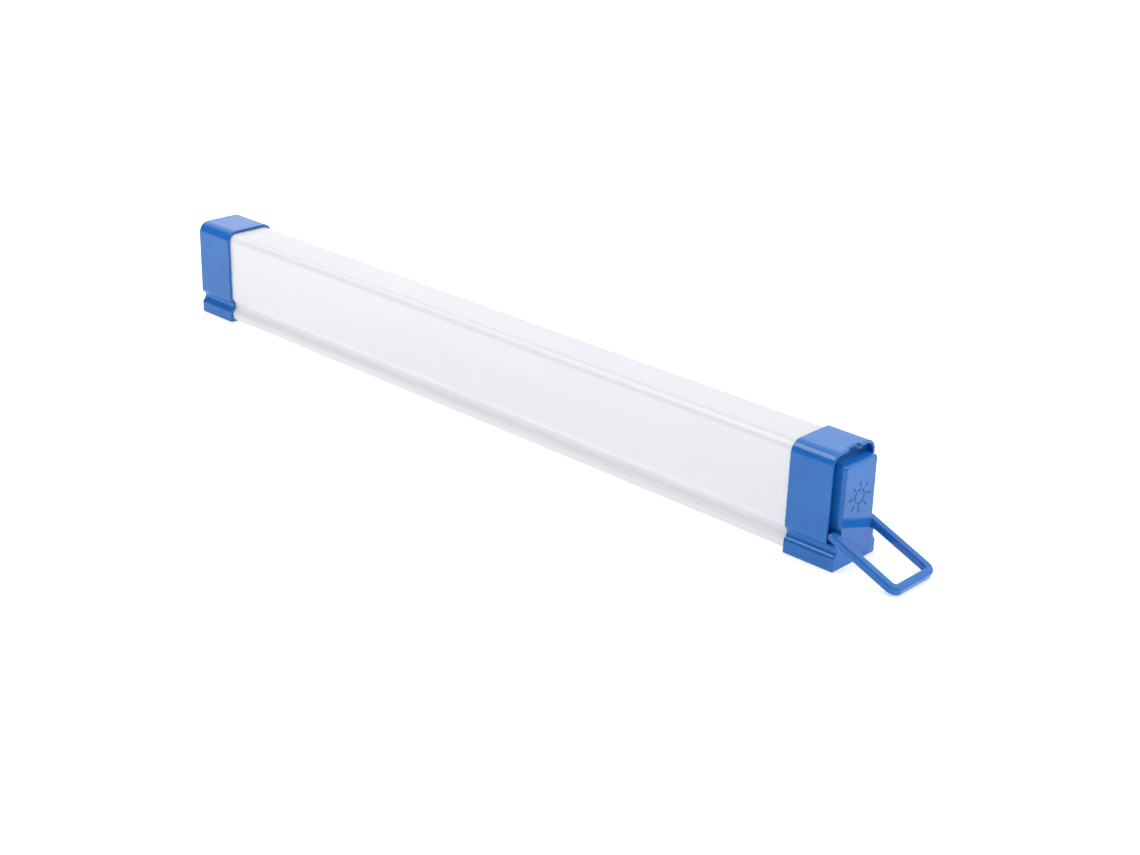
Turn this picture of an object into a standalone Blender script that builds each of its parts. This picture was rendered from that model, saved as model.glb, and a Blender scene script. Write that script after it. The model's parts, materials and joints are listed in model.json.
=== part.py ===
"""Rechargeable LED light tube: a milky tube between two snap-on end caps, with a folding bail.

Metres. +X runs along the tube to the bail end and +Z points to the lit side. The pieces are modelled
round the centre of the tube's flat back. The last step then moves them all, so that the lamp stands
on Z = 0 with the origin under the middle of its box.
"""

from math import asin, atan2, cos, hypot, pi, radians, sin, sqrt, tan

import bmesh
import bpy
from mathutils import Matrix, Vector

# Clearances
SLIP = 0.0001  # a part that slides or pushes into another, on each side
SEAT = 0.0001  # under a part that is soldered or laid on another
RUN = 0.00025  # round a part that moves

# Lithium cell, which sets the inside width of the tube
CELL_DIAMETER = 0.0183
CELL_LENGTH = 0.065
CELL_SLEEVE = 0.0002
CELL_START = 0.0125  # from the tube's end to the cell
CELL_CAP_RADIUS = 0.0028
CELL_CAP_HEIGHT = 0.0009
CELL_WASHER = 0.0003
TAB_WIDTH = 0.0026
TAB_THICKNESS = 0.0003
TAB_OVERHANG = 0.0006  # from the middle of a wire to the end of its tab

# Tube: an extruded profile with a groove low on each side and two pairs of rails
TUBE_LENGTH = 0.3126
TUBE_WALL = 0.00075
CORNER_RADIUS = 0.0032
FOOT_RADIUS = 0.0005
GROOVE_BOTTOM = 0.0030
GROOVE_DEPTH = 0.0014
GROOVE_FLOOR = 0.0027
RAIL_DEPTH = 0.0015
RAIL_HEIGHT = 0.0008
CELL_TO_RAIL = 0.0027  # from the top of the cell to the lower rail
LIGHT_CHAMBER = 0.00925  # from the top of the LED board to the inside of the tube

# LED board and its chips
BOARD_THICKNESS = 0.0012
BOARD_INSET = 0.004  # from the tube's end to the board
CHIP_COUNT = 24
CHIP_SIZE = (0.0028, 0.0035, 0.0008)
CHIP_END = 0.0075  # from the board's end to the middle of the first chip

# End caps
CAP_LENGTH = 0.0195
CAP_WALL = 0.0011
END_WALL = 0.0012

# Bail end: a raised pad inside the folded bail, a channel round it and a solid foot under it
BAIL_THICKNESS = 0.0028
BAIL_WIDTH = 0.0028
BAIL_CORNER = 0.0038
BAIL_EDGE = 0.0006
EYE_STEP = 0.00005  # how far the round eyes stand out from the arms' faces, and in from their sides
PIVOT_HEIGHT = 0.0103
PIN_RADIUS = 0.0009
PIN_WALL = 0.0026  # of the pad, where the bail's pins turn
CHANNEL_DEPTH = 0.0022
PAD_CORNER = 0.0012
PAD_TOP_GAP = 0.0010  # between the pad and the folded bail's crossbar
NOTCH_WIDTH = 0.006
NOTCH_DEPTH = 0.0011

# Switch end: a board on two bosses, with a switch, a charging socket and an indicator
CONTROL_DEPTH = 0.0048  # from the inside of the end wall to the control board
CONTROL_SIZE = (0.0148, 0.0295, 0.0012)
CONTROL_BOTTOM = 0.0025
LEDGE = 0.0009  # how far the tube's end seats on the cap
BOSS_RADIUS = 0.0019
BOSS_PLACE = (0.0053, 0.0155)
SCREW_RADIUS = 0.00095
SCREW_HEAD = (0.0018, 0.0012)
SCREW_LENGTH = 0.0050
BUTTON_RADIUS = 0.0045
BUTTON_HEIGHT = 0.0010
BUTTON_FLANGE = (0.0056, 0.0007)
BUTTON_LEVEL = 0.0240
BUTTON_TRAVEL = 0.0005
SWITCH_SIDE = 0.006
SWITCH_BODY = 0.0026
PLUNGER_RADIUS = 0.0017
PLUNGER_DEPTH = 0.0010  # how far the plunger reaches into the switch at rest
USB_LEVEL = 0.0085
USB_SIZE = (0.0075, 0.0027)
USB_WALL = 0.0003
USB_TONGUE = (0.0040, 0.0006)
USB_BASE = 0.0012
PLUG_RECESS = (0.0110, 0.0065, 0.0005)
INDICATOR_LEVEL = 0.0155
INDICATOR_SIZE = (0.0016, 0.0008, 0.0006)
PIPE_RADIUS = 0.0010
PIPE_FLANGE = (0.0015, 0.0008)

# Wires
WIRE_RADIUS = 0.00065
WIRE_GAP = 0.0003

SIDES = 24
ARC_STEPS = 6

# Levels and places that follow from the sizes above
tube_width = CELL_DIAMETER + 2 * (SLIP + TUBE_WALL)
inner_side = tube_width / 2 - TUBE_WALL
groove_lean = tan(radians(45) / 2)
ridge_side = inner_side - GROOVE_DEPTH
ridge_top = GROOVE_BOTTOM + GROOVE_DEPTH + GROOVE_FLOOR + TUBE_WALL * groove_lean
cell_clear = CELL_DIAMETER / 2 + SLIP
cell_level = max(
    TUBE_WALL + cell_clear,
    ridge_top + sqrt(max(0.0, cell_clear**2 - ridge_side**2)),
)
cell_top = cell_level + CELL_DIAMETER / 2
rail_low = cell_top + CELL_TO_RAIL
board_bottom = rail_low + RAIL_HEIGHT + SLIP
board_top = board_bottom + BOARD_THICKNESS
rail_high = board_top + SLIP
tube_height = board_top + LIGHT_CHAMBER + TUBE_WALL

tube_end = TUBE_LENGTH / 2
cap_grow = SLIP + CAP_WALL
cap_side = tube_width / 2 + cap_grow
cap_top = tube_height + cap_grow

channel_floor = tube_end + SLIP + END_WALL
lip_plane = channel_floor + CHANNEL_DEPTH
pad_plane = lip_plane + BAIL_THICKNESS + 2 * RUN
bail_rim = pad_plane - CAP_LENGTH
bail_side = cap_side
pad_side = bail_side - BAIL_WIDTH - RUN
bail_length = cap_top - PIVOT_HEIGHT
pad_top = cap_top - BAIL_WIDTH - PAD_TOP_GAP
pivot_x = lip_plane + RUN + BAIL_THICKNESS / 2

switch_plane = -(tube_end + SLIP + CONTROL_DEPTH + CONTROL_SIZE[2] + SEAT + END_WALL)
switch_rim = switch_plane + CAP_LENGTH
switch_inside = switch_plane + END_WALL
control_front = switch_inside + CONTROL_DEPTH
control_back = control_front + CONTROL_SIZE[2]

cell_start = -tube_end + CELL_START
cell_end = cell_start + CELL_LENGTH
board_start = -tube_end + BOARD_INSET
board_end = tube_end - BOARD_INSET


def bail_droop():
    """The angle below level at which the bail's tip lies on the surface under the caps."""
    half = BAIL_THICKNESS / 2 - BAIL_EDGE
    reach = bail_length - BAIL_EDGE
    drop = PIVOT_HEIGHT + cap_grow - SEAT - BAIL_EDGE
    return asin(drop / hypot(reach, half)) - atan2(half, reach)


droop = bail_droop()
# The foot stops the bail there: its top front edge is what the arms come down on.
stop_reach = pad_plane - pivot_x
stop_drop = (BAIL_THICKNESS / 2 + SLIP + stop_reach * sin(droop)) / cos(droop)
foot_top = PIVOT_HEIGHT - stop_drop


def clear_scene():
    for obj in list(bpy.data.objects):
        bpy.data.objects.remove(obj, do_unlink=True)


def material(name, color, roughness, metallic=0.0):
    made = bpy.data.materials.new(name)
    made.use_nodes = True
    shader = made.node_tree.nodes["Principled BSDF"]
    shader.inputs["Base Color"].default_value = (*color, 1)
    shader.inputs["Roughness"].default_value = roughness
    shader.inputs["Metallic"].default_value = metallic
    return made


def add(name, bm, look):
    """A mesh object from bm, shaded smooth with its edges kept sharp."""
    bmesh.ops.recalc_face_normals(bm, faces=bm.faces)
    mesh = bpy.data.meshes.new(name)
    bm.to_mesh(mesh)
    bm.free()
    mesh.shade_smooth()
    mesh.set_sharp_from_angle(angle=radians(35))
    mesh.materials.append(look)
    obj = bpy.data.objects.new(name, mesh)
    bpy.context.scene.collection.objects.link(obj)
    return obj


def prism(name, outlines, start, end, look):
    """A solid between the planes X = start and end.

    The first (y, z) outline is the outside, the others are holes.
    """
    bm = bmesh.new()
    edges = []
    for outline in outlines:
        verts = [bm.verts.new((start, y, z)) for y, z in outline]
        edges += [bm.edges.new(pair) for pair in zip(verts, verts[1:] + verts[:1])]
    filled = bmesh.ops.triangle_fill(bm, use_beauty=True, edges=edges)["geom"]
    faces = [item for item in filled if isinstance(item, bmesh.types.BMFace)]
    grown = bmesh.ops.extrude_face_region(bm, geom=faces)["geom"]
    moved = [item for item in grown if isinstance(item, bmesh.types.BMVert)]
    bmesh.ops.translate(bm, verts=moved, vec=(end - start, 0, 0))
    return add(name, bm, look)


def turned(name, stations, centre, look, sides=SIDES):
    """A round solid along X through (y, z) centre. Each station is (x, radius)."""
    bm = bmesh.new()
    rings = []
    for x, radius in stations:
        outline = circle(centre, radius, sides)
        rings.append([bm.verts.new((x, y, z)) for y, z in outline])
    for low, high in zip(rings, rings[1:]):
        for i in range(sides):
            j = (i + 1) % sides
            bm.faces.new((low[i], low[j], high[j], high[i]))
    bm.faces.new(rings[0])
    bm.faces.new(rings[-1])
    return add(name, bm, look)


def block(name, low, high, look):
    """A box between two corners."""
    y0, z0 = low[1:]
    y1, z1 = high[1:]
    return prism(name, [[(y0, z0), (y1, z0), (y1, z1), (y0, z1)]], low[0], high[0], look)


def arc(centre, radius, first, last, steps=ARC_STEPS):
    """Points on an arc from the angle first to last, in degrees from +Y to +Z."""
    turns = [radians(first + (last - first) * i / steps) for i in range(steps + 1)]
    return [(centre[0] + radius * cos(t), centre[1] + radius * sin(t)) for t in turns]


def circle(centre, radius, sides=SIDES):
    return arc(centre, radius, 0, 360, sides)[:-1]


def rounded(low, high, radius, steps=ARC_STEPS):
    """A rectangle with round corners, from its (y, z) corners."""
    (y0, z0), (y1, z1) = low, high
    corners = (
        (y1 - radius, z0 + radius, -90),
        (y1 - radius, z1 - radius, 0),
        (y0 + radius, z1 - radius, 90),
        (y0 + radius, z0 + radius, 180),
    )
    return [p for y, z, turn in corners for p in arc((y, z), radius, turn, turn + 90, steps)]


def mirrored(half):
    """The whole outline from its +Y half, listed from the bottom up."""
    return half + [(-y, z) for y, z in reversed(half)]


def side_line(grow, rails=()):
    """The +Y half of the tube's outer profile, grown outwards by grow.

    An inner wall has rails on it that start at the heights given.
    """
    side = tube_width / 2 + grow
    top = tube_height + grow
    shift = grow * groove_lean
    groove_floor = GROOVE_BOTTOM + GROOVE_DEPTH
    groove_top = groove_floor + GROOVE_FLOOR + GROOVE_DEPTH
    line = arc((side - FOOT_RADIUS, FOOT_RADIUS - grow), FOOT_RADIUS, -90, 0, 4)
    line += [
        (side, GROOVE_BOTTOM + shift),
        (side - GROOVE_DEPTH, groove_floor + shift),
        (side - GROOVE_DEPTH, groove_floor + GROOVE_FLOOR - shift),
        (side, groove_top - shift),
    ]
    for low in rails:
        high = low + RAIL_HEIGHT
        inner = side - RAIL_DEPTH
        line += [(side, low), (inner, low), (inner, high), (side, high)]
    corner = CORNER_RADIUS + grow
    return line + arc((side - corner, top - corner), corner, 0, 90)


def section(grow, rails=()):
    return mirrored(side_line(grow, rails))


def operand(obj):
    """Keeps a tool of a Boolean out of the finished object."""
    obj.hide_render = True
    obj.display_type = "WIRE"
    return obj


def combine(target, operation, *tools):
    for tool in tools:
        step = target.modifiers.new(tool.name, "BOOLEAN")
        step.operation = operation
        step.solver = "EXACT"
        step.object = operand(tool)


def diffuser_tube(look):
    inner = section(-TUBE_WALL, rails=(rail_low, rail_high))
    prism("diffuser_tube", [section(0), inner], -tube_end, tube_end, look)


def pad_outline(beyond_foot):
    """The raised pad as an outline that starts beyond_foot below the foot's top."""
    base = foot_top - beyond_foot
    half = [(pad_side, base), *arc((pad_side - PAD_CORNER, pad_top - PAD_CORNER), PAD_CORNER, 0, 90)]
    return mirrored(half)


def arch(outer):
    """A band over the pad and down both its sides to the foot, with the +Y half of its outside given."""
    pad = pad_outline(0)
    return outer + [(-y, z) for y, z in reversed(outer)] + list(reversed(pad))


def hook_end_cap(look):
    past = 2 * BAIL_THICKNESS
    cap = prism("hook_end_cap", [section(cap_grow)], bail_rim, pad_plane, look)
    wide = cap_side + past
    high = cap_top + past
    seat = prism(
        "bail_seat",
        [arch([(wide, foot_top), (wide, high)])],
        lip_plane,
        pad_plane + past,
        look,
    )
    lip_inside = [(y, z) for y, z in side_line(SLIP) if z > foot_top]
    start = (tube_width / 2 + SLIP, foot_top)
    channel = prism(
        "bail_channel",
        [arch([start, *lip_inside])],
        channel_floor,
        lip_plane + past,
        look,
    )
    pocket = prism(
        "tube_pocket", [section(SLIP)], bail_rim - past, tube_end + SLIP, look
    )
    cavity = prism(
        "pad_cavity",
        [
            rounded(
                (PIN_WALL - pad_side, 2 * END_WALL),
                (pad_side - PIN_WALL, pad_top - END_WALL),
                PAD_CORNER / 2,
            )
        ],
        tube_end - past,
        pad_plane - END_WALL,
        look,
    )
    notch = block(
        "nail_notch",
        (lip_plane - NOTCH_DEPTH, -NOTCH_WIDTH / 2, tube_height - CORNER_RADIUS / 4),
        (lip_plane + past, NOTCH_WIDTH / 2, high),
        look,
    )
    sides = ((-1, "near"), (1, "far"))
    bores = [pin_bore(f"pin_bore_{name}", side, look) for side, name in sides]
    combine(cap, "DIFFERENCE", seat, channel, pocket, cavity, notch, *bores)


def pin_bore(name, side, look):
    """A cutter for the hole that one of the bail's pins turns in."""
    radius = PIN_RADIUS + SLIP
    stations = ((pad_side - END_WALL - SLIP, radius), (pad_side + RUN, radius))
    bore = turned(name, stations, (0, 0), look)
    place = Matrix.Translation((pivot_x, 0, PIVOT_HEIGHT))
    bore.data.transform(place @ Matrix.Rotation(side * pi / 2, 4, "Z"))
    return bore


def bail_path():
    """The bail's centre line as (along, across), from the -Y pivot round to the +Y one."""
    side = bail_side - BAIL_WIDTH / 2
    tip = bail_length - BAIL_WIDTH / 2
    corner = BAIL_CORNER - BAIL_WIDTH / 2
    centre = (tip - corner, side - corner)
    half = [(-EYE_STEP, side), *arc(centre, corner, 90, 0)]
    return [(u, -v) for u, v in half] + list(reversed(half))


def inward_turns(path):
    """At each point of the path, the way to its inner side and how far a mitre stretches the bar."""
    legs = [(Vector(b) - Vector(a)).normalized() for a, b in zip(path, path[1:])]
    sides = [Vector((-leg.y, leg.x)) for leg in legs]
    turns = []
    for first, second in zip([sides[0], *sides], [*sides, sides[-1]]):
        inward = (first + second).normalized()
        turns.append((inward, 1 / inward.dot(first)))
    return turns


def hanging_bail(look, axis):
    """A round-edged bar swept round the path, with a round eye and an inward pin at each end.

    It is made level, with its arms along +X, and its own axes turn it down to where it rests.
    """
    path = bail_path()
    half = (BAIL_WIDTH / 2, BAIL_THICKNESS / 2)
    ring = rounded((-half[0], -half[1]), half, BAIL_EDGE, 3)
    bm = bmesh.new()
    rings = []
    for place, (inward, stretch) in zip(path, inward_turns(path)):
        reach = [(Vector(place) + inward * w * stretch, t) for w, t in ring]
        rings.append([bm.verts.new((*point, t)) for point, t in reach])
    for low, high in zip(rings, rings[1:]):
        for i in range(len(ring)):
            j = (i + 1) % len(ring)
            bm.faces.new((low[i], low[j], high[j], high[i]))
    bm.faces.new(rings[0])
    bm.faces.new(rings[-1])
    bail = add("hanging_bail", bm, look)
    bail.parent = axis
    for side, name in ((-1, "near"), (1, "far")):
        eye = eye_with_pin(f"bail_eye_{name}", side, look)
        eye.parent = axis
        combine(bail, "UNION", eye)


def eye_with_pin(name, side, look):
    """The round end of one arm, turned about the bail's axis together with its pin."""
    radius = BAIL_THICKNESS / 2 + EYE_STEP
    inner = bail_side - BAIL_WIDTH - EYE_STEP
    outer = bail_side - EYE_STEP
    rim = arc((outer - BAIL_EDGE, radius - BAIL_EDGE), BAIL_EDGE, 90, 0, 3)
    stations = ((pad_side - END_WALL, PIN_RADIUS), (inner, PIN_RADIUS), (inner, radius), *rim)
    eye = turned(name, stations, (0, 0), look)
    eye.data.transform(Matrix.Rotation(side * pi / 2, 4, "Z"))
    return eye


def switch_end_cap(look):
    past = 2 * END_WALL
    cap = prism("switch_end_cap", [section(cap_grow)], switch_plane, switch_rim, look)
    pocket = prism(
        "switch_pocket", [section(SLIP)], -tube_end - SLIP, switch_rim + past, look
    )
    room = prism(
        "control_room", [section(SLIP - LEDGE)], switch_inside, past - tube_end, look
    )
    combine(cap, "DIFFERENCE", pocket, room)
    for side in (-1, 1):
        spot = (side * BOSS_PLACE[0], BOSS_PLACE[1])
        name = "near" if side < 0 else "far"
        boss = turned(
            f"boss_{name}",
            ((switch_inside - END_WALL / 2, BOSS_RADIUS), (control_front - SEAT, BOSS_RADIUS)),
            spot,
            look,
        )
        combine(cap, "UNION", boss)
        pilot = turned(
            f"pilot_{name}",
            ((switch_inside, SCREW_RADIUS + SLIP), (control_back, SCREW_RADIUS + SLIP)),
            spot,
            look,
        )
        combine(cap, "DIFFERENCE", pilot)
    for name, radius, level in (
        ("button_hole", BUTTON_RADIUS + RUN, BUTTON_LEVEL),
        ("pipe_hole", PIPE_RADIUS + SLIP, INDICATOR_LEVEL),
    ):
        hole = turned(
            name,
            ((switch_plane - past, radius), (switch_inside + SLIP, radius)),
            (0, level),
            look,
        )
        combine(cap, "DIFFERENCE", hole)
    for name, size, end in (
        ("usb_hole", [s / 2 + SLIP for s in USB_SIZE], switch_inside + SLIP),
        ("plug_recess", [s / 2 for s in PLUG_RECESS[:2]], switch_plane + PLUG_RECESS[2]),
    ):
        wide, high = size
        outline = rounded((-wide, USB_LEVEL - high), (wide, USB_LEVEL + high), high / 2)
        combine(cap, "DIFFERENCE", prism(name, [outline], switch_plane - past, end, look))


def push_button(look, axis):
    """A round key with a flange behind the end wall and a stem that reaches the switch's plunger."""
    flange = switch_inside + SLIP
    stations = (
        (switch_plane - BUTTON_HEIGHT, BUTTON_RADIUS - BUTTON_HEIGHT / 2),
        (switch_plane - BUTTON_HEIGHT / 2, BUTTON_RADIUS),
        (flange, BUTTON_RADIUS),
        (flange, BUTTON_FLANGE[0]),
        (flange + BUTTON_FLANGE[1], BUTTON_FLANGE[0]),
        (flange + BUTTON_FLANGE[1], PLUNGER_RADIUS),
        (plunger_front() - SEAT, PLUNGER_RADIUS),
    )
    button = turned("push_button", stations, (0, 0), look)
    button.parent = axis


def plunger_front():
    return control_front - SEAT - SWITCH_BODY - BUTTON_TRAVEL - SLIP


def key_switch(body_look, plunger_look, axis):
    half = SWITCH_SIDE / 2
    square = rounded(
        (-half, BUTTON_LEVEL - half), (half, BUTTON_LEVEL + half), half / 6
    )
    hole = circle((0, BUTTON_LEVEL), PLUNGER_RADIUS + SLIP)
    front = control_front - SEAT - SWITCH_BODY
    prism("key_switch", [square, hole], front, control_front - SEAT, body_look)
    plunger = turned(
        "key_plunger",
        ((plunger_front(), PLUNGER_RADIUS), (front + PLUNGER_DEPTH, PLUNGER_RADIUS)),
        (0, 0),
        plunger_look,
    )
    plunger.parent = axis


def charging_socket(shell_look, inside_look):
    wide, high = (s / 2 for s in USB_SIZE)
    inner_wide, inner_high = wide - USB_WALL, high - USB_WALL
    mouth = switch_plane + PLUG_RECESS[2] + SLIP
    back = control_front - SEAT
    shell = rounded((-wide, USB_LEVEL - high), (wide, USB_LEVEL + high), high / 2)
    bore = rounded(
        (-inner_wide, USB_LEVEL - inner_high),
        (inner_wide, USB_LEVEL + inner_high),
        inner_high / 2,
    )
    prism("usb_shell", [shell, bore], mouth, back, shell_look)
    base_wide, base_high = inner_wide - SLIP, inner_high - SLIP
    base = rounded(
        (-base_wide, USB_LEVEL - base_high),
        (base_wide, USB_LEVEL + base_high),
        base_high / 2,
    )
    insulator = prism("usb_insulator", [base], back - USB_BASE, back, inside_look)
    tongue = block(
        "usb_tongue",
        (mouth + USB_WALL, -USB_TONGUE[0] / 2, USB_LEVEL - USB_TONGUE[1] / 2),
        (back - USB_BASE / 2, USB_TONGUE[0] / 2, USB_LEVEL + USB_TONGUE[1] / 2),
        inside_look,
    )
    combine(insulator, "UNION", tongue)


def control_board(look):
    half = CONTROL_SIZE[0] / 2
    outline = rounded(
        (-half, CONTROL_BOTTOM), (half, CONTROL_BOTTOM + CONTROL_SIZE[1]), SCREW_RADIUS
    )
    holes = [
        circle((side * BOSS_PLACE[0], BOSS_PLACE[1]), SCREW_RADIUS + RUN) for side in (-1, 1)
    ]
    prism("control_board", [outline, *holes], control_front, control_back, look)


def board_screws(look):
    seat = control_back + SEAT
    radius, height = SCREW_HEAD
    for side, name in ((-1, "near"), (1, "far")):
        stations = (
            (seat - SCREW_LENGTH, SCREW_RADIUS / 2),
            (seat - SCREW_LENGTH + SCREW_RADIUS, SCREW_RADIUS),
            (seat, SCREW_RADIUS),
            (seat, radius),
            (seat + height / 2, radius),
            (seat + height, radius - height / 2),
        )
        spot = (side * BOSS_PLACE[0], BOSS_PLACE[1])
        turned(f"board_screw_{name}", stations, spot, look, 16)


def charge_indicator(chip_look, pipe_look):
    width, height, depth = INDICATOR_SIZE
    front = control_front - SEAT - depth
    block(
        "charge_indicator",
        (front, -width / 2, INDICATOR_LEVEL - height / 2),
        (control_front - SEAT, width / 2, INDICATOR_LEVEL + height / 2),
        chip_look,
    )
    flange = switch_inside + SLIP
    turned(
        "light_pipe",
        (
            (switch_plane + SLIP, PIPE_RADIUS),
            (flange, PIPE_RADIUS),
            (flange, PIPE_FLANGE[0]),
            (flange + PIPE_FLANGE[1], PIPE_FLANGE[0]),
            (flange + PIPE_FLANGE[1], PIPE_RADIUS),
            (front - SLIP, PIPE_RADIUS),
        ),
        (0, INDICATOR_LEVEL),
        pipe_look,
        16,
    )


def board_parts(look):
    """The components on the inner face of the control board: name, middle (y, z) and size (y, z, x)."""
    parts = (
        ("charge_chip", (0.0, 0.0100), (0.0040, 0.0050, 0.0015)),
        ("driver_transistor", (-0.0045, 0.0065), (0.0016, 0.0030, 0.0011)),
        ("current_resistor", (0.0045, 0.0065), (0.0016, 0.0032, 0.0006)),
    )
    start = control_back + SEAT
    for name, (y, z), (wide, high, deep) in parts:
        block(
            name,
            (start, y - wide / 2, z - high / 2),
            (start + deep, y + wide / 2, z + high / 2),
            look,
        )


def led_board(board_look, chip_look):
    half = inner_side - SLIP
    block(
        "led_board",
        (board_start, -half, board_bottom),
        (board_end, half, board_top),
        board_look,
    )
    first = board_start + CHIP_END
    pitch = (board_end - CHIP_END - first) / (CHIP_COUNT - 1)
    length, width, height = CHIP_SIZE
    for i in range(CHIP_COUNT):
        x = first + i * pitch
        block(
            f"led_chip_{i + 1:02d}",
            (x - length / 2, -width / 2, board_top + SEAT),
            (x + length / 2, width / 2, board_top + SEAT + height),
            chip_look,
        )


def cell_cap_face():
    """Where the cell's positive end is, beyond its washer."""
    return cell_start + 2 * CELL_SLEEVE - SEAT - CELL_CAP_HEIGHT


def lithium_cell(can_look, sleeve_look, washer_look, steel_look):
    middle = (0.0, cell_level)
    outer = CELL_DIAMETER / 2
    inner = outer - CELL_SLEEVE
    can = inner - SLIP
    rim = 2 * CELL_SLEEVE
    turned(
        "cell_can",
        (
            (cell_start + rim, can - rim),
            (cell_start + 2 * rim, can),
            (cell_end - 2 * rim, can),
            (cell_end - rim, can - rim),
        ),
        middle,
        can_look,
        32,
    )
    rings = [circle(middle, outer, 32), circle(middle, inner, 32)]
    prism("cell_sleeve", rings, cell_start, cell_end, sleeve_look)
    face = cell_cap_face() + CELL_CAP_HEIGHT
    washer = [circle(middle, can - 2 * rim), circle(middle, CELL_CAP_RADIUS + SLIP)]
    prism("cell_washer", washer, face - CELL_WASHER, face, washer_look)
    turned(
        "cell_positive_cap",
        (
            (face - CELL_CAP_HEIGHT, CELL_CAP_RADIUS - CELL_WASHER),
            (face - CELL_CAP_HEIGHT + CELL_WASHER, CELL_CAP_RADIUS),
            (face, CELL_CAP_RADIUS),
        ),
        middle,
        steel_look,
        16,
    )


def tab(name, end, front, look):
    """A welded strip from the middle of the cell's end out past the (y, z) end of its wire."""
    middle = Vector((0.0, cell_level))
    reach = Vector(end) - middle
    along = reach.normalized()
    across = Vector((-along.y, along.x)) * TAB_WIDTH / 2
    near = middle - along * CELL_CAP_RADIUS / 2
    far = Vector(end) + along * TAB_OVERHANG
    outline = [near - across, far - across, far + across, near + across]
    prism(name, [[tuple(p) for p in outline]], front, front + TAB_THICKNESS, look)


def smooth_route(points, steps):
    """A smooth curve through the points, with steps pieces between each two."""
    ends = [2 * points[0] - points[1], *points, 2 * points[-1] - points[-2]]
    route = []
    for a, b, c, d in zip(ends, ends[1:], ends[2:], ends[3:]):
        for i in range(steps):
            t = i / steps
            route.append(
                0.5
                * (
                    2 * b
                    + (c - a) * t
                    + (2 * a - 5 * b + 4 * c - d) * t * t
                    + (3 * b - a - 3 * c + d) * t**3
                )
            )
    return route + [points[-1]]


def wire(name, points, look, steps=3):
    route = smooth_route([Vector(p) for p in points], steps)
    curve = bpy.data.curves.new(name, "CURVE")
    curve.dimensions = "3D"
    curve.bevel_depth = WIRE_RADIUS
    curve.bevel_resolution = 2
    curve.use_fill_caps = True
    spline = curve.splines.new("POLY")
    spline.points.add(len(route) - 1)
    for point, place in zip(spline.points, route):
        point.co = (*place, 1)
    curve.materials.append(look)
    obj = bpy.data.objects.new(name, curve)
    bpy.context.scene.collection.objects.link(obj)


def wiring(red, black, steel):
    """Wires from the control board to the LED board and the cell, and the tabs on the cell."""
    start = control_back + WIRE_GAP
    led_lie = board_top + WIRE_GAP + WIRE_RADIUS
    for name, side, look in (("led_wire_plus", 1, red), ("led_wire_minus", -1, black)):
        y = side * 0.0030
        wire(
            name,
            (
                (start, y, led_lie + 0.0026),
                (start + 0.0020, y, led_lie + 0.0025),
                (start + 0.0045, y, led_lie + 0.0012),
                (start + 0.0065, y, led_lie + 0.0002),
                (start + 0.0085, y, led_lie),
            ),
            look,
        )
    front = cell_cap_face() - SEAT - TAB_THICKNESS
    plus = (0.0030, cell_level + 0.0050)
    tab("cell_tab_plus", plus, front, steel)
    leave = cell_level + 0.0070
    wire(
        "cell_wire_plus",
        (
            (start, plus[0], leave),
            (start + 0.0020, plus[0], leave),
            ((start + front) / 2, plus[0] + 0.0008, (leave + plus[1]) / 2),
            (front - WIRE_GAP - 0.0020, plus[0], plus[1]),
            (front - WIRE_GAP, plus[0], plus[1]),
        ),
        red,
    )
    # The other wire runs along the cell, in the corner under the lower rail.
    margin = SLIP + TAB_WIDTH / 2 + TAB_OVERHANG
    corner = (margin - inner_side, rail_low - margin)
    back = cell_end + SEAT
    tab("cell_tab_minus", corner, back, steel)
    stretch = back - WIRE_GAP - cell_start
    wire(
        "cell_wire_minus",
        (
            (start, -plus[0], leave),
            (start + 0.0020, -plus[0], leave),
            (start + 0.0055, -plus[0] - 0.0016, leave + 0.0006),
            (cell_start - 0.0010, corner[0] + 0.0006, corner[1]),
            *((cell_start + stretch * i / 4, corner[0], corner[1]) for i in range(1, 5)),
        ),
        black,
    )


def foam_pad(look):
    """The sticky foam that holds the cell down from the LED board."""
    length, width = CELL_LENGTH / 2, CELL_DIAMETER / 2
    middle = (cell_start + cell_end) / 2
    block(
        "cell_foam_pad",
        (middle - length / 2, -width / 2, cell_top + SEAT),
        (middle + length / 2, width / 2, board_bottom - SEAT),
        look,
    )


def stand_on_origin():
    """Parents every piece to one empty, which puts the middle of the lamp's box over the origin."""
    reach = bail_length - BAIL_EDGE
    half = BAIL_THICKNESS / 2 - BAIL_EDGE
    tip = pivot_x + reach * cos(droop) + half * sin(droop) + BAIL_EDGE
    back = switch_plane - BUTTON_HEIGHT
    loose = [obj for obj in bpy.context.scene.objects if obj.parent is None]
    base = axis_at("lamp_base", -(tip + back) / 2, cap_grow)
    for obj in loose:
        obj.parent = base


def axis_at(name, x, z, turn=0.0):
    empty = bpy.data.objects.new(name, None)
    empty.location = (x, 0, z)
    empty.rotation_euler = (0, turn, 0)
    bpy.context.scene.collection.objects.link(empty)
    return empty


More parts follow.
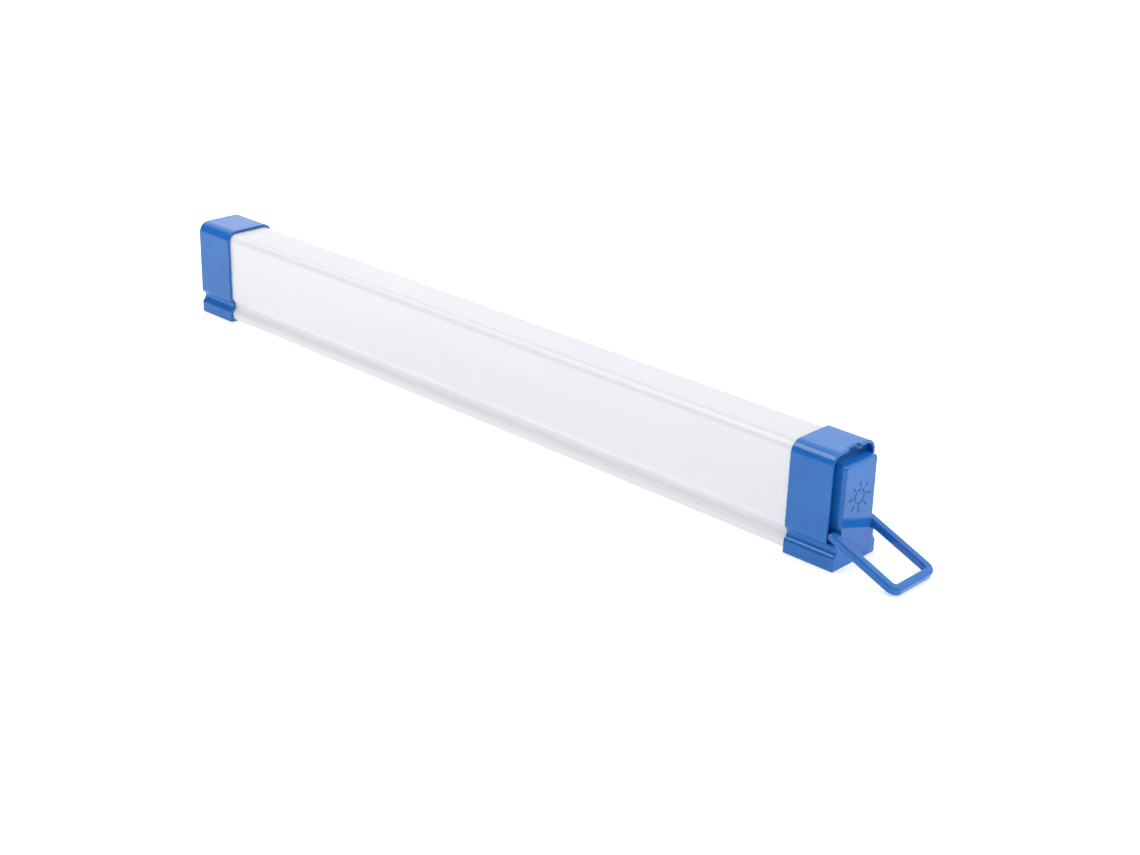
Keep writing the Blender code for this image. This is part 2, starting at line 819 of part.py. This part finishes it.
def main():
    clear_scene()
    blue = material("blue_plastic", (0.06, 0.22, 0.62), 0.25)
    milky = material("milky_plastic", (0.90, 0.90, 0.94), 0.35)
    white = material("white_plastic", (0.85, 0.85, 0.85), 0.4)
    black = material("black_plastic", (0.02, 0.02, 0.02), 0.4)
    steel = material("steel", (0.62, 0.62, 0.60), 0.3, 1.0)
    aluminium = material("board_white", (0.85, 0.86, 0.85), 0.45)
    phosphor = material("phosphor", (0.86, 0.78, 0.30), 0.5)
    green = material("board_green", (0.04, 0.22, 0.09), 0.4)
    sleeve = material("cell_sleeve", (0.10, 0.35, 0.60), 0.35)
    foam = material("foam", (0.80, 0.80, 0.76), 0.9)
    clear = material("clear_plastic", (0.90, 0.92, 0.95), 0.1)
    red = material("red_wire", (0.60, 0.03, 0.03), 0.4)
    grey = material("key_grey", (0.80, 0.80, 0.82), 0.4)

    bail_axis = axis_at("bail_axis", pivot_x, PIVOT_HEIGHT, droop)
    key_axis = axis_at("key_axis", 0.0, BUTTON_LEVEL)

    diffuser_tube(milky)
    hook_end_cap(blue)
    switch_end_cap(blue)
    hanging_bail(blue, bail_axis)
    push_button(grey, key_axis)
    key_switch(black, black, key_axis)
    charging_socket(steel, black)
    control_board(green)
    board_screws(steel)
    charge_indicator(phosphor, clear)
    board_parts(black)
    led_board(aluminium, phosphor)
    lithium_cell(steel, sleeve, white, steel)
    wiring(red, black, steel)
    foam_pad(foam)
    stand_on_origin()


main()
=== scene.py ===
"""Looks, light and camera for the magnetic work lamp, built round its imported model."""

import json
from math import cos, pi, radians, sin

import bmesh
import bpy
from mathutils import Matrix, Vector

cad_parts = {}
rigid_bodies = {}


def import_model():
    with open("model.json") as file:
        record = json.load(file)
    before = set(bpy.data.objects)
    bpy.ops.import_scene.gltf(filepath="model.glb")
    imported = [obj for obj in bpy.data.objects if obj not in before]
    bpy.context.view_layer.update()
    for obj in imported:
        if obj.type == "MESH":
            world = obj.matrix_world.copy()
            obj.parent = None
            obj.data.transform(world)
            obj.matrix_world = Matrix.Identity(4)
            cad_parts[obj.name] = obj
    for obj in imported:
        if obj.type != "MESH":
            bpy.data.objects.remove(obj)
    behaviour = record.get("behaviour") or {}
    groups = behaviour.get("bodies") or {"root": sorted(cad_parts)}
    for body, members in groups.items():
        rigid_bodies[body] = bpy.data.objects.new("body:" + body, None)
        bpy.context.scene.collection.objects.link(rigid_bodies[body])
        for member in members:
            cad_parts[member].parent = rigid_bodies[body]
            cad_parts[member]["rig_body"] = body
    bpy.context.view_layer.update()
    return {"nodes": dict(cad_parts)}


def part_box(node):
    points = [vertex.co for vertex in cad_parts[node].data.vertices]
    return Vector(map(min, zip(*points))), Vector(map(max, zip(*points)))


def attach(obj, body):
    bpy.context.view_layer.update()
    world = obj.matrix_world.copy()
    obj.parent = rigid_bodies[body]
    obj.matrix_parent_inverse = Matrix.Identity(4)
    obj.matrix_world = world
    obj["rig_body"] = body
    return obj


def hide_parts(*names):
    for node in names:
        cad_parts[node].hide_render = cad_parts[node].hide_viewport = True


# Rounding of moulded edges, in metres
EDGE = 0.00034
PAD_EDGE = 0.0006
GROOVE_EDGE = 0.0008
KEY_EDGE = 0.00025
WIDEST = 0.001
SHARP_ANGLE = 35
ROUND_STEPS = 4

# Shading stays sharp over this angle, in degrees; large faces count this much in the normals
SHADE_ANGLE = 30
FACE_WEIGHT = 50

# Points this close are one, faces tilted this little (degrees) are flat, and edges this near a plane
# lie on it
SAME = 0.000001
FLAT_ANGLE = 0.5
NEAR = 0.0001

# A face narrower than this is closed up
SLIVER = 0.000003

# The groove along each long side, as the CAD has it
GROOVE_DEPTH = 0.0014
GROOVE_REACH = (0.0035, 0.0125)

# The hook cap: its end wall's back, its arch's front, its foot's top and its pad's half width
WALL_BACK = 0.1466
ARCH_FRONT = 0.14875
FOOT_TOP = 0.0092
PAD_SIDE = 0.00815

# How far from the middle the switch cap's openings reach
SOCKET_SIDE = 0.0075

# The engraved mark on the hook cap's pad
MARK_RADIUS = 0.0024
MARK_LINE = 0.0004
MARK_DEPTH = 0.00025
MARK_RAYS = 8
RAY_SPAN = (0.0034, 0.0056)
MARK_SHARE = 0.59
MARK_SIDES = 48

# The tube's wall: its colours above and below the LED board (a touch lighter and bluer above as
# painted light through the wall, greyer below as painted shade of the board), half the height over
# which they change, how much light its top passes, and how far under the top that starts and is full
MILK_PAINTED_LIGHT = (243, 243, 250)
MILK_PAINTED_LIGHT_PALE = (246, 246, 252)
HOUSING_PAINTED_SHADE = (242, 243, 248)
HOUSING_PAINTED_SHADE_PALE = (245, 246, 250)
CHANGE = 0.0002
MILK_PASS = 0.3
PASS_REACH = (0.0004, 0.0001)

# The camera
LENS = 58.35
CAMERA_PLACE = (0.44103, -0.44083, 0.26272)
YAW, PITCH, ROLL = 43.11, 22.94, 1.79

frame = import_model()
nodes = frame["nodes"]
CAP_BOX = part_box("hook_end_cap")
TUBE_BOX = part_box("diffuser_tube")
BAIL_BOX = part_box("hanging_bail")
BOARD_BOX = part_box("led_board")


def linear(red, green, blue):
    """The linear colour of an 8-bit sRGB one."""
    shares = [c / 255 for c in (red, green, blue)]
    return [c / 12.92 if c <= 0.04045 else ((c + 0.055) / 1.055) ** 2.4 for c in shares]


# ---------------------------------------------------------------- materials


class Maker:
    """Builds one material: a Principled shader and what feeds it, in object coordinates."""

    def __init__(self, name):
        self.material = bpy.data.materials.new(name)
        self.material.use_nodes = True
        self.tree = self.material.node_tree
        self.shader = self.tree.nodes["Principled BSDF"]
        coordinates = self.node("ShaderNodeTexCoord")
        self.place = coordinates.outputs["Object"]

    def node(self, kind, **settings):
        made = self.tree.nodes.new(kind)
        for name, value in settings.items():
            setattr(made, name, value)
        return made

    def link(self, out, into):
        self.tree.links.new(out, into)

    def set(self, **values):
        for name, value in values.items():
            self.shader.inputs[name.replace("_", " ")].default_value = value

    def noise(self, scale, detail=2.0, stretch=None):
        """Noise with that many features per metre; stretch scales it along each axis."""
        made = self.node("ShaderNodeTexNoise")
        made.inputs["Scale"].default_value = scale
        made.inputs["Detail"].default_value = detail
        if stretch:
            mapping = self.node("ShaderNodeMapping")
            mapping.inputs["Scale"].default_value = stretch
            self.link(self.place, mapping.inputs["Vector"])
            self.link(mapping.outputs["Vector"], made.inputs["Vector"])
        else:
            self.link(self.place, made.inputs["Vector"])
        return made.outputs["Fac"]

    def spread(self, value, low, high, start=0.3, end=0.7):
        """Value from start to end mapped on low to high."""
        made = self.node("ShaderNodeMapRange")
        made.inputs["From Min"].default_value = start
        made.inputs["From Max"].default_value = end
        made.inputs["To Min"].default_value = low
        made.inputs["To Max"].default_value = high
        self.link(value, made.inputs["Value"])
        return made.outputs["Result"]

    def ramp(self, value, *stops):
        """Colours at places from 0 to 1, blended by value."""
        made = self.node("ShaderNodeValToRGB")
        band = made.color_ramp
        while len(band.elements) < len(stops):
            band.elements.new(0.5)
        for element, (place, color) in zip(band.elements, stops):
            element.position = place
            element.color = (*color, 1)
        self.link(value, made.inputs["Fac"])
        return made.outputs["Color"]

    def color(self, out):
        self.link(out, self.shader.inputs["Base Color"])

    def roughness(self, out):
        self.link(out, self.shader.inputs["Roughness"])

    def bump(self, height, depth, strength=1.0):
        made = self.node("ShaderNodeBump")
        made.inputs["Strength"].default_value = strength
        made.inputs["Distance"].default_value = depth
        self.link(height, made.inputs["Height"])
        self.link(made.outputs["Normal"], self.shader.inputs["Normal"])


def moulded(name, dark, light, rough, wave=0.00003):
    """Glossy moulded plastic: slow colour drift, patchy gloss and a faintly wavy skin."""
    maker = Maker(name)
    drift = maker.noise(90, 3)
    maker.color(maker.ramp(drift, (0.35, linear(*dark)), (0.65, linear(*light))))
    patches = maker.noise(420, 4)
    maker.roughness(maker.spread(patches, rough * 0.85, rough * 1.25))
    maker.bump(maker.noise(260, 2), wave, 0.5)
    maker.set(IOR=1.44)
    return maker.material


def milky(name):
    """The extruded tube: milky above the LED board, opaque white below it, with painted light above
    the board and painted shade of the board below it.
    """
    maker = Maker(name)
    drift = maker.noise(60, 2, (0.15, 1, 1))
    # Painted light and shade: the wall is a touch lighter and bluer above the LED board, where light
    # passes through it, and greyer below, where the board shades it
    housing_painted_shade = maker.ramp(drift, (0.3, linear(*HOUSING_PAINTED_SHADE)), (0.7, linear(*HOUSING_PAINTED_SHADE_PALE)))
    diffuser = maker.ramp(drift, (0.3, linear(*MILK_PAINTED_LIGHT)), (0.7, linear(*MILK_PAINTED_LIGHT_PALE)))
    height = maker.node("ShaderNodeSeparateXYZ")
    maker.link(maker.place, height.inputs["Vector"])
    shelf = BOARD_BOX[0].z
    above = maker.spread(height.outputs["Z"], 0, 1, shelf - CHANGE, shelf + CHANGE)
    mixed = maker.node("ShaderNodeMixRGB")
    maker.link(above, mixed.inputs["Fac"])
    maker.link(housing_painted_shade, mixed.inputs["Color1"])
    maker.link(diffuser, mixed.inputs["Color2"])
    maker.color(mixed.outputs["Color"])
    streaks = maker.noise(400, 1, (0.02, 1, 1))
    maker.roughness(maker.spread(streaks, 0.295, 0.325))
    maker.bump(streaks, 0.00001, 0.15)
    start, end = (TUBE_BOX[1].z - depth for depth in PASS_REACH)
    passing = maker.spread(height.outputs["Z"], 0, MILK_PASS, start, end)
    maker.link(passing, maker.shader.inputs["Transmission Weight"])
    maker.set(IOR=1.49)
    return maker.material


def metal(name, color, rough):
    maker = Maker(name)
    drift = maker.noise(300, 3)
    dark = [c * 0.9 for c in linear(*color)]
    maker.color(maker.ramp(drift, (0.3, dark), (0.7, linear(*color))))
    brushed = maker.noise(2500, 3, (1, 1, 0.05))
    maker.roughness(maker.spread(brushed, rough * 0.8, rough * 1.3))
    maker.bump(brushed, 0.00001, 0.3)
    maker.set(Metallic=1.0)
    return maker.material


def grainy(name, dark, light, rough, scale=1500, depth=0.00002):
    """A matt or satin surface with fine grain: board lacquer, film, sleeve or foam."""
    maker = Maker(name)
    grain = maker.noise(scale, 4)
    maker.color(maker.ramp(grain, (0.3, linear(*dark)), (0.7, linear(*light))))
    maker.roughness(maker.spread(grain, rough * 0.9, min(1, rough * 1.15)))
    maker.bump(grain, depth, 0.6)
    return maker.material


def clear(name):
    maker = Maker(name)
    drift = maker.noise(300, 2)
    maker.color(maker.ramp(drift, (0.3, linear(236, 240, 244)), (0.7, linear(248, 250, 252))))
    maker.roughness(maker.spread(maker.noise(900, 2), 0.05, 0.12))
    maker.set(IOR=1.49, Transmission_Weight=0.9)
    return maker.material


LOOKS = {
    "blue_plastic": moulded("blue_gloss", (27, 109, 193), (33, 116, 200), 0.09),
    "key_plastic": moulded("key_gloss", (232, 234, 238), (240, 242, 245), 0.22),
    "black_plastic": moulded("black_gloss", (16, 16, 18), (24, 24, 27), 0.3),
    "washer_plastic": moulded("washer_gloss", (225, 228, 232), (238, 240, 243), 0.35),
    "milky_plastic": milky("milky_wall"),
    "clear_plastic": clear("clear_pipe"),
    "steel": metal("nickel_steel", (205, 206, 208), 0.28),
    "board_white": grainy("white_lacquer", (236, 237, 240), (246, 247, 250), 0.45),
    "board_green": grainy("green_lacquer", (24, 92, 52), (34, 110, 62), 0.35),
    "phosphor": grainy("yellow_phosphor", (236, 214, 120), (246, 228, 142), 0.5),
    "cell_sleeve": grainy("cell_film", (60, 128, 176), (70, 140, 190), 0.3, 400),
    "foam": grainy("grey_foam", (70, 72, 76), (98, 100, 104), 0.9, 2200, 0.0001),
    "red_wire": grainy("red_insulation", (176, 26, 24), (196, 34, 30), 0.38),
    "black_wire": grainy("black_insulation", (20, 20, 22), (32, 32, 34), 0.38),
}

# ---------------------------------------------------------------- pieces


def evaluated(obj):
    """The mesh of obj with its modifiers applied, and obj without them."""
    bpy.context.view_layer.update()
    graph = bpy.context.evaluated_depsgraph_get()
    mesh = bpy.data.meshes.new_from_object(obj.evaluated_get(graph))
    obj.modifiers.clear()
    obj.data = mesh
    return mesh


def add(name, mesh, look):
    obj = bpy.data.objects.new(name, mesh)
    bpy.context.scene.collection.objects.link(obj)
    mesh.materials.clear()
    mesh.materials.append(LOOKS[look])
    return obj


def shade(obj):
    """Smooth shading that keeps flat faces flat and sharp edges sharp."""
    obj.data.shade_smooth()
    obj.data.set_sharp_from_angle(angle=radians(SHADE_ANGLE))
    flat = obj.modifiers.new("flat_faces", "WEIGHTED_NORMAL")
    flat.keep_sharp = True
    flat.weight = FACE_WEIGHT


def slot_name(slot):
    """The record's name of the finish in a CAD node's material slot."""
    return slot.material.name.split(".")[0]


def eased(node, name, rule):
    """A copy of a CAD node that stands for it, each sharp edge rounded as much as rule says."""
    source = nodes[node]
    look = slot_name(source.material_slots[0])
    mesh = bpy.data.meshes.new(name)
    shape = bmesh.new()
    shape.from_mesh(source.data)
    bmesh.ops.remove_doubles(shape, verts=shape.verts, dist=SAME)
    bmesh.ops.dissolve_limit(
        shape,
        angle_limit=radians(FLAT_ANGLE),
        verts=shape.verts,
        edges=shape.edges,
    )
    bmesh.ops.dissolve_degenerate(shape, dist=SLIVER, edges=shape.edges)
    weight = shape.edges.layers.float.new("bevel_weight_edge")
    for edge in shape.edges:
        if edge.calc_face_angle(0) > radians(SHARP_ANGLE):
            edge[weight] = rule(edge) / WIDEST
    shape.to_mesh(mesh)
    shape.free()
    for extra in ("custom_normal", "sharp_edge", "sharp_face"):
        if extra in mesh.attributes:
            mesh.attributes.remove(mesh.attributes[extra])
    obj = add(name, mesh, look)
    bevel = obj.modifiers.new("rounding", "BEVEL")
    bevel.width = WIDEST
    bevel.segments = ROUND_STEPS
    bevel.limit_method = "WEIGHT"
    bevel.miter_outer = "MITER_ARC"
    bevel.use_clamp_overlap = False
    evaluated(obj)
    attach(obj, source["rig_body"])
    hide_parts(node)
    return obj


def middle(edge):
    return (edge.verts[0].co + edge.verts[1].co) / 2


def runs_along(edge):
    """True if the edge is parallel to the tube."""
    way = edge.verts[1].co - edge.verts[0].co
    return abs(way.x) > 0.99 * way.length


def in_groove(edge, side):
    """True for the four edges of the groove in an outer wall at that distance from the middle."""
    place = middle(edge)
    low, high = GROOVE_REACH
    if not (runs_along(edge) and low < place.z < high):
        return False
    return any(abs(abs(place.y) - y) < NEAR for y in (side, side - GROOVE_DEPTH))


def cap_rule(edge):
    """A cap's edges: wide rounding in its groove, a little on every other outer edge."""
    if in_groove(edge, CAP_BOX[1].y):
        return GROOVE_EDGE
    return EDGE if edge.is_convex else 0


def switch_rule(edge):
    """The switch cap's edges, with its key, socket and indicator openings left crisp."""
    place = middle(edge)
    inside = abs(place.y) < SOCKET_SIDE and place.x < TUBE_BOX[0].x
    return 0 if inside and place.z > EDGE and place.z < TUBE_BOX[1].z else cap_rule(edge)


def hook_rule(edge):
    """The hook cap's edges: like the other cap's, with a softer front to its pad."""
    place = middle(edge)
    front = CAP_BOX[1].x
    flat = all(abs(v.co.x - front) < NEAR for v in edge.verts)
    on_pad = place.z > BAIL_BOX[1].z and abs(place.y) < PAD_SIDE + 2 * NEAR
    if flat and on_pad and edge.is_convex:
        return PAD_EDGE
    by_pivot = place.z < BAIL_BOX[1].z and place.x > ARCH_FRONT
    if by_pivot and abs(abs(place.y) - PAD_SIDE) < 2 * NEAR:
        return 0
    inside = place.x < WALL_BACK and place.z < TUBE_BOX[1].z
    if inside and abs(place.y) < PAD_SIDE:
        return 0
    if place.x > ARCH_FRONT and abs(place.z - FOOT_TOP) < 4 * NEAR:
        return 0
    return cap_rule(edge)


def tube_rule(edge):
    """Only the tube's grooves are rounded."""
    return GROOVE_EDGE if in_groove(edge, TUBE_BOX[1].y) else 0


def key_rule(edge):
    """The key's outer edges, rounded a little."""
    return KEY_EDGE if edge.is_convex else 0


def mark_cutter(front, level):
    """A ring with rays round it, as one mesh that stands through the plane X = front."""
    shape = bmesh.new()
    near = front + MARK_DEPTH
    deep = front - MARK_DEPTH
    half = MARK_LINE / 2
    rings = []
    for x in (deep, near):
        for radius in (MARK_RADIUS - half, MARK_RADIUS + half):
            turns = [2 * pi * i / MARK_SIDES for i in range(MARK_SIDES)]
            rings.append(
                [
                    shape.verts.new((x, radius * cos(t), level + radius * sin(t)))
                    for t in turns
                ]
            )
    inner_deep, outer_deep, inner_near, outer_near = rings
    loops = [inner_deep, outer_deep, outer_near, inner_near, inner_deep]
    for first, second in zip(loops, loops[1:]):
        for i in range(MARK_SIDES):
            j = (i + 1) % MARK_SIDES
            shape.faces.new((first[i], first[j], second[j], second[i]))
    for i in range(MARK_RAYS):
        made = bmesh.ops.create_cube(shape, size=1)["verts"]
        low, high = RAY_SPAN
        size = Matrix.Diagonal((near - deep, MARK_LINE, high - low, 1))
        place = Matrix.Translation((front, 0, (low + high) / 2))
        turn = Matrix.Rotation(2 * pi * i / MARK_RAYS, 4, "X")
        lift = Matrix.Translation((0, 0, level))
        bmesh.ops.transform(shape, matrix=lift @ turn @ place @ size, verts=made)
    bmesh.ops.recalc_face_normals(shape, faces=shape.faces)
    mesh = bpy.data.meshes.new("mark_cutter")
    shape.to_mesh(mesh)
    shape.free()
    cutter = bpy.data.objects.new("mark_cutter", mesh)
    bpy.context.scene.collection.objects.link(cutter)
    return cutter


def engrave(obj, front, level):
    """Cuts the mark into obj, in the plane X = front and round that height."""
    cutter = mark_cutter(front, level)
    cut = obj.modifiers.new("mark", "BOOLEAN")
    cut.operation = "DIFFERENCE"
    cut.solver = "EXACT"
    cut.object = cutter
    evaluated(obj)
    bpy.data.objects.remove(cutter)


# ---------------------------------------------------------------- build

hook_cap = eased("hook_end_cap", "hook_cap_shell", hook_rule)
engrave(hook_cap, CAP_BOX[1].x, MARK_SHARE * CAP_BOX[1].z)
switch_cap = eased("switch_end_cap", "switch_cap_shell", switch_rule)
bail = eased("hanging_bail", "bail_loop", lambda edge: 0)
key = eased("push_button", "button_cap", key_rule)
tube = eased("diffuser_tube", "milky_tube", tube_rule)
for piece in (hook_cap, switch_cap, bail, key, tube):
    shade(piece)

for name, obj in nodes.items():
    for slot in obj.material_slots:
        slot.material = LOOKS[slot_name(slot)]

# ---------------------------------------------------------------- stage

FLOOR_GLOW = 0.45
SOFTBOX_POWER = 2.6
ROOM_BACK = (0, 0.6, 0.8)
ROOM_EDGE = (0.28, 0.55)
ROOM_DIM = 0.15
ROOM_BRIGHT = 1.38


def quad(name, corners, look):
    mesh = bpy.data.meshes.new(name)
    mesh.from_pydata(corners, [], [range(len(corners))])
    mesh.materials.append(look)
    obj = bpy.data.objects.new(name, mesh)
    bpy.context.scene.collection.objects.link(obj)
    return obj


def floor_look():
    """Matt white that also glows a little, as a lit sweep does when exposed to pure white."""
    maker = Maker("white_sweep")
    grain = maker.noise(30, 2)
    maker.color(maker.ramp(grain, (0.3, (0.89, 0.89, 0.89)), (0.7, (0.91, 0.91, 0.91))))
    maker.roughness(maker.spread(grain, 0.75, 0.85))
    maker.shader.inputs["Emission Color"].default_value = (1, 1, 1, 1)
    maker.set(Emission_Strength=FLOOR_GLOW)
    return maker.material


REACH = 5.0
floor = quad(
    "floor",
    [(-REACH, -REACH, 0), (REACH, -REACH, 0), (REACH, REACH, 0), (-REACH, REACH, 0)],
    floor_look(),
)


def softbox(name, place, target, size, power):
    data = bpy.data.lights.new(name, "AREA")
    data.shape = "RECTANGLE"
    data.size, data.size_y = size
    data.energy = power
    lamp = bpy.data.objects.new(name, data)
    bpy.context.scene.collection.objects.link(lamp)
    lamp.location = place
    away = Vector(place) - Vector(target)
    lamp.rotation_mode = "QUATERNION"
    lamp.rotation_quaternion = away.to_track_quat("Z", "Y")
    return lamp


# What the softbox shines at, the way from there to the softbox, and its size
NEAR_CAP = Vector((0.142, 0, 0.03))
SOFTBOX_WAY = Vector((-0.52, -0.39, 0.75)) * 1.1
SOFTBOX_SIZE = (0.42, 0.42)
softbox("softbox", NEAR_CAP + SOFTBOX_WAY, NEAR_CAP, SOFTBOX_SIZE, SOFTBOX_POWER)


def white_room():
    """A room that is bright behind the object and overhead and dim on the camera's side."""
    world = bpy.data.worlds.new("white_room")
    world.use_nodes = True
    tree = world.node_tree
    backdrop = tree.nodes["Background"]
    direction = tree.nodes.new("ShaderNodeTexCoord")
    along = tree.nodes.new("ShaderNodeVectorMath")
    along.operation = "DOT_PRODUCT"
    along.inputs[1].default_value = ROOM_BACK
    level = tree.nodes.new("ShaderNodeMapRange")
    level.interpolation_type = "SMOOTHSTEP"
    level.inputs["From Min"].default_value = ROOM_EDGE[0]
    level.inputs["From Max"].default_value = ROOM_EDGE[1]
    level.inputs["To Min"].default_value = ROOM_DIM
    level.inputs["To Max"].default_value = ROOM_BRIGHT
    tree.links.new(direction.outputs["Generated"], along.inputs[0])
    tree.links.new(along.outputs["Value"], level.inputs["Value"])
    tree.links.new(level.outputs["Result"], backdrop.inputs["Strength"])
    backdrop.inputs["Color"].default_value = (1, 1, 1, 1)
    bpy.context.scene.world = world


white_room()
bpy.context.scene.view_settings.view_transform = "Standard"


def aim_camera():
    yaw, pitch, roll = (radians(a) for a in (YAW, PITCH, ROLL))
    ahead = Vector((-sin(yaw) * cos(pitch), cos(yaw) * cos(pitch), -sin(pitch)))
    level = Vector((cos(yaw), sin(yaw), 0))
    upright = level.cross(ahead)
    across = level * cos(roll) + upright * sin(roll)
    upward = upright * cos(roll) - level * sin(roll)
    data = bpy.data.cameras.new("camera")
    data.lens = LENS
    data.clip_start = 0.01
    camera = bpy.data.objects.new("camera", data)
    bpy.context.scene.collection.objects.link(camera)
    turn = Matrix((across, upward, -ahead)).transposed().to_4x4()
    camera.matrix_world = Matrix.Translation(CAMERA_PLACE) @ turn
    bpy.context.scene.camera = camera


aim_camera()
